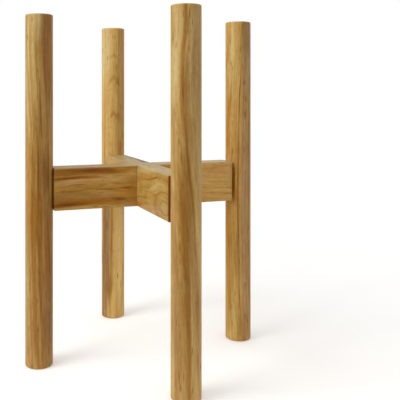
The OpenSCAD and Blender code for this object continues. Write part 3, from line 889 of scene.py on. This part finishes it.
# what the metal parts share; dullness: how much cloud and scratches add to the roughness
metal = {"scratchAmount": 0.3, "dullness": (0.2, 0.1), "bump": 0.25, "bumpHeight": 0.03}
metals = {
    "centre_bolt": {"seed": 2.0, "rings": 9.0, "bright": (0.68, 0.7, 0.74), "dull": (0.52, 0.54, 0.57),
                    "scratch": (0.36, 0.37, 0.39), "roughness": 0.24},
    "bolt_washer": {"seed": 6.0, "rings": 7.0, "bright": (0.66, 0.68, 0.72), "dull": (0.48, 0.5, 0.53),
                    "scratch": (0.34, 0.35, 0.37), "roughness": 0.3},
    "threaded_insert": {"seed": 8.0, "rings": 11.0, "bright": (0.78, 0.58, 0.24), "dull": (0.6, 0.42, 0.16),
                        "scratch": (0.42, 0.27, 0.09), "roughness": 0.26},
}
for name, own in metals.items():
    low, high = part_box(name)
    dress(name, makeMetal(name + "Metal", {**metal, **own}, (low + high) / 2))
print("dowels and centre bolt dressed")

# floor, light and camera
studio = {"fillLevel": 0.85, "fillColour": (1.0, 0.985, 0.96), "white": (1, 1, 1)}
# in metres: half the width, the drop below the legs, and from where to where the floor fades to white
floorLook = {"half": 3.0, "drop": 0.0003, "fade": (0.2, 0.7), "colour": (0.8, 0.8, 0.8), "roughness": 0.9,
             "lift": 0.23}


def seenDirectly(tree):
    # 1 for the camera, a reflection and what shows through glass
    path = addNode(tree, "ShaderNodeLightPath").outputs
    seen = calc(tree, "MAXIMUM", path["Is Camera Ray"], path["Is Glossy Ray"])
    return calc(tree, "MAXIMUM", seen, path["Is Transmission Ray"])


def makeWorld():
    # an even fill light, which shows as white
    world = bpy.data.worlds.new("studio")
    tree = emptyTree(world)
    fill = addNode(tree, "ShaderNodeBackground")
    feedAll(tree, fill.inputs, {"Color": studio["fillColour"], "Strength": studio["fillLevel"]})
    shown = addNode(tree, "ShaderNodeBackground")
    feed(tree, shown.inputs["Color"], studio["white"])
    showShader(tree, mixShaders(tree, seenDirectly(tree), fill, shown), "ShaderNodeOutputWorld")
    return world


def makeFloor():
    mesh = bpy.data.meshes.new("floor")
    h = floorLook["half"]
    mesh.from_pydata([(-h, -h, 0), (h, -h, 0), (h, h, 0), (-h, h, 0)], [], [(0, 1, 2, 3)])
    material = bpy.data.materials.new("paleFloor")
    tree = emptyTree(material)
    paint = addNode(tree, "ShaderNodeBsdfPrincipled")
    lift = calc(tree, "MULTIPLY", seenDirectly(tree), floorLook["lift"])
    feedAll(tree, paint.inputs, {
        "Base Color": floorLook["colour"], "Roughness": floorLook["roughness"], "Specular IOR Level": 0.0,
        "Emission Color": studio["white"], "Emission Strength": lift})
    glow = addNode(tree, "ShaderNodeEmission")
    feed(tree, glow.inputs["Strength"], seenDirectly(tree))
    coords = addNode(tree, "ShaderNodeTexCoord")
    away = vectorLength(tree, coords.outputs["Object"])
    shown = mixShaders(tree, ramp(tree, away, *floorLook["fade"]), paint, glow)
    # seen from below the floor is clear, and the leg ends that stand on it get light through it
    path = addNode(tree, "ShaderNodeLightPath").outputs
    back = addNode(tree, "ShaderNodeNewGeometry").outputs["Backfacing"]
    contact = calc(tree, "LESS_THAN", path["Ray Length"], 2 * floorLook["drop"])
    clear = calc(tree, "MAXIMUM", calc(tree, "MULTIPLY", back, path["Is Camera Ray"]),
                 calc(tree, "MULTIPLY", contact, path["Is Diffuse Ray"]))
    window = mixShaders(tree, clear, shown, addNode(tree, "ShaderNodeBsdfTransparent"))
    showShader(tree, window)
    mesh.materials.append(material)
    return addObject("floor", mesh, (0, 0, -floorLook["drop"]))


bpy.context.scene.world = makeWorld()
makeFloor()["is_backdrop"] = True

# the photograph's viewing angle: level, a little to the left of the front leg
shot = {"place": (-0.2463, -0.68525, 0.29542), "heading": 18.3445, "lens": 57.024, "sensor": 36,
        "shiftX": 0.18, "shiftY": -0.2688}
# the key light, at the upper left: degrees from the camera's side to the left, the rest in metres
keyLight = {"angle": 62, "distance": 1.0, "height": 0.95, "size": (0.7, 0.7), "power": 9.5,
            "colour": (1.0, 0.97, 0.92)}
heading = math.radians(shot["heading"])


def makeKeyLight():
    data = bpy.data.lights.new("keySoftbox", "AREA")
    data.shape = "RECTANGLE"
    data.size, data.size_y = keyLight["size"]
    data.energy = keyLight["power"]
    data.color = keyLight["colour"]
    way = heading + math.radians(keyLight["angle"])
    flat = Vector((-math.sin(way), -math.cos(way), 0)) * keyLight["distance"]
    lamp = addObject("keySoftbox", data, flat + Vector((0, 0, keyLight["height"])))
    middle = Vector((0, 0, legLength * mm / 2))
    lamp.rotation_euler = (middle - lamp.location).to_track_quat("-Z", "Y").to_euler()


def makeCamera():
    data = bpy.data.cameras.new("camera")
    data.sensor_width = shot["sensor"]
    data.lens = shot["lens"]
    data.shift_x = shot["shiftX"]
    data.shift_y = shot["shiftY"]
    camera = addObject("camera", data, shot["place"])
    camera.rotation_euler = (math.pi / 2, 0, -heading)
    return camera


makeKeyLight()
bpy.context.scene.camera = makeCamera()
bpy.context.scene.view_settings.view_transform = "Standard"
print("stage set")

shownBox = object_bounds()
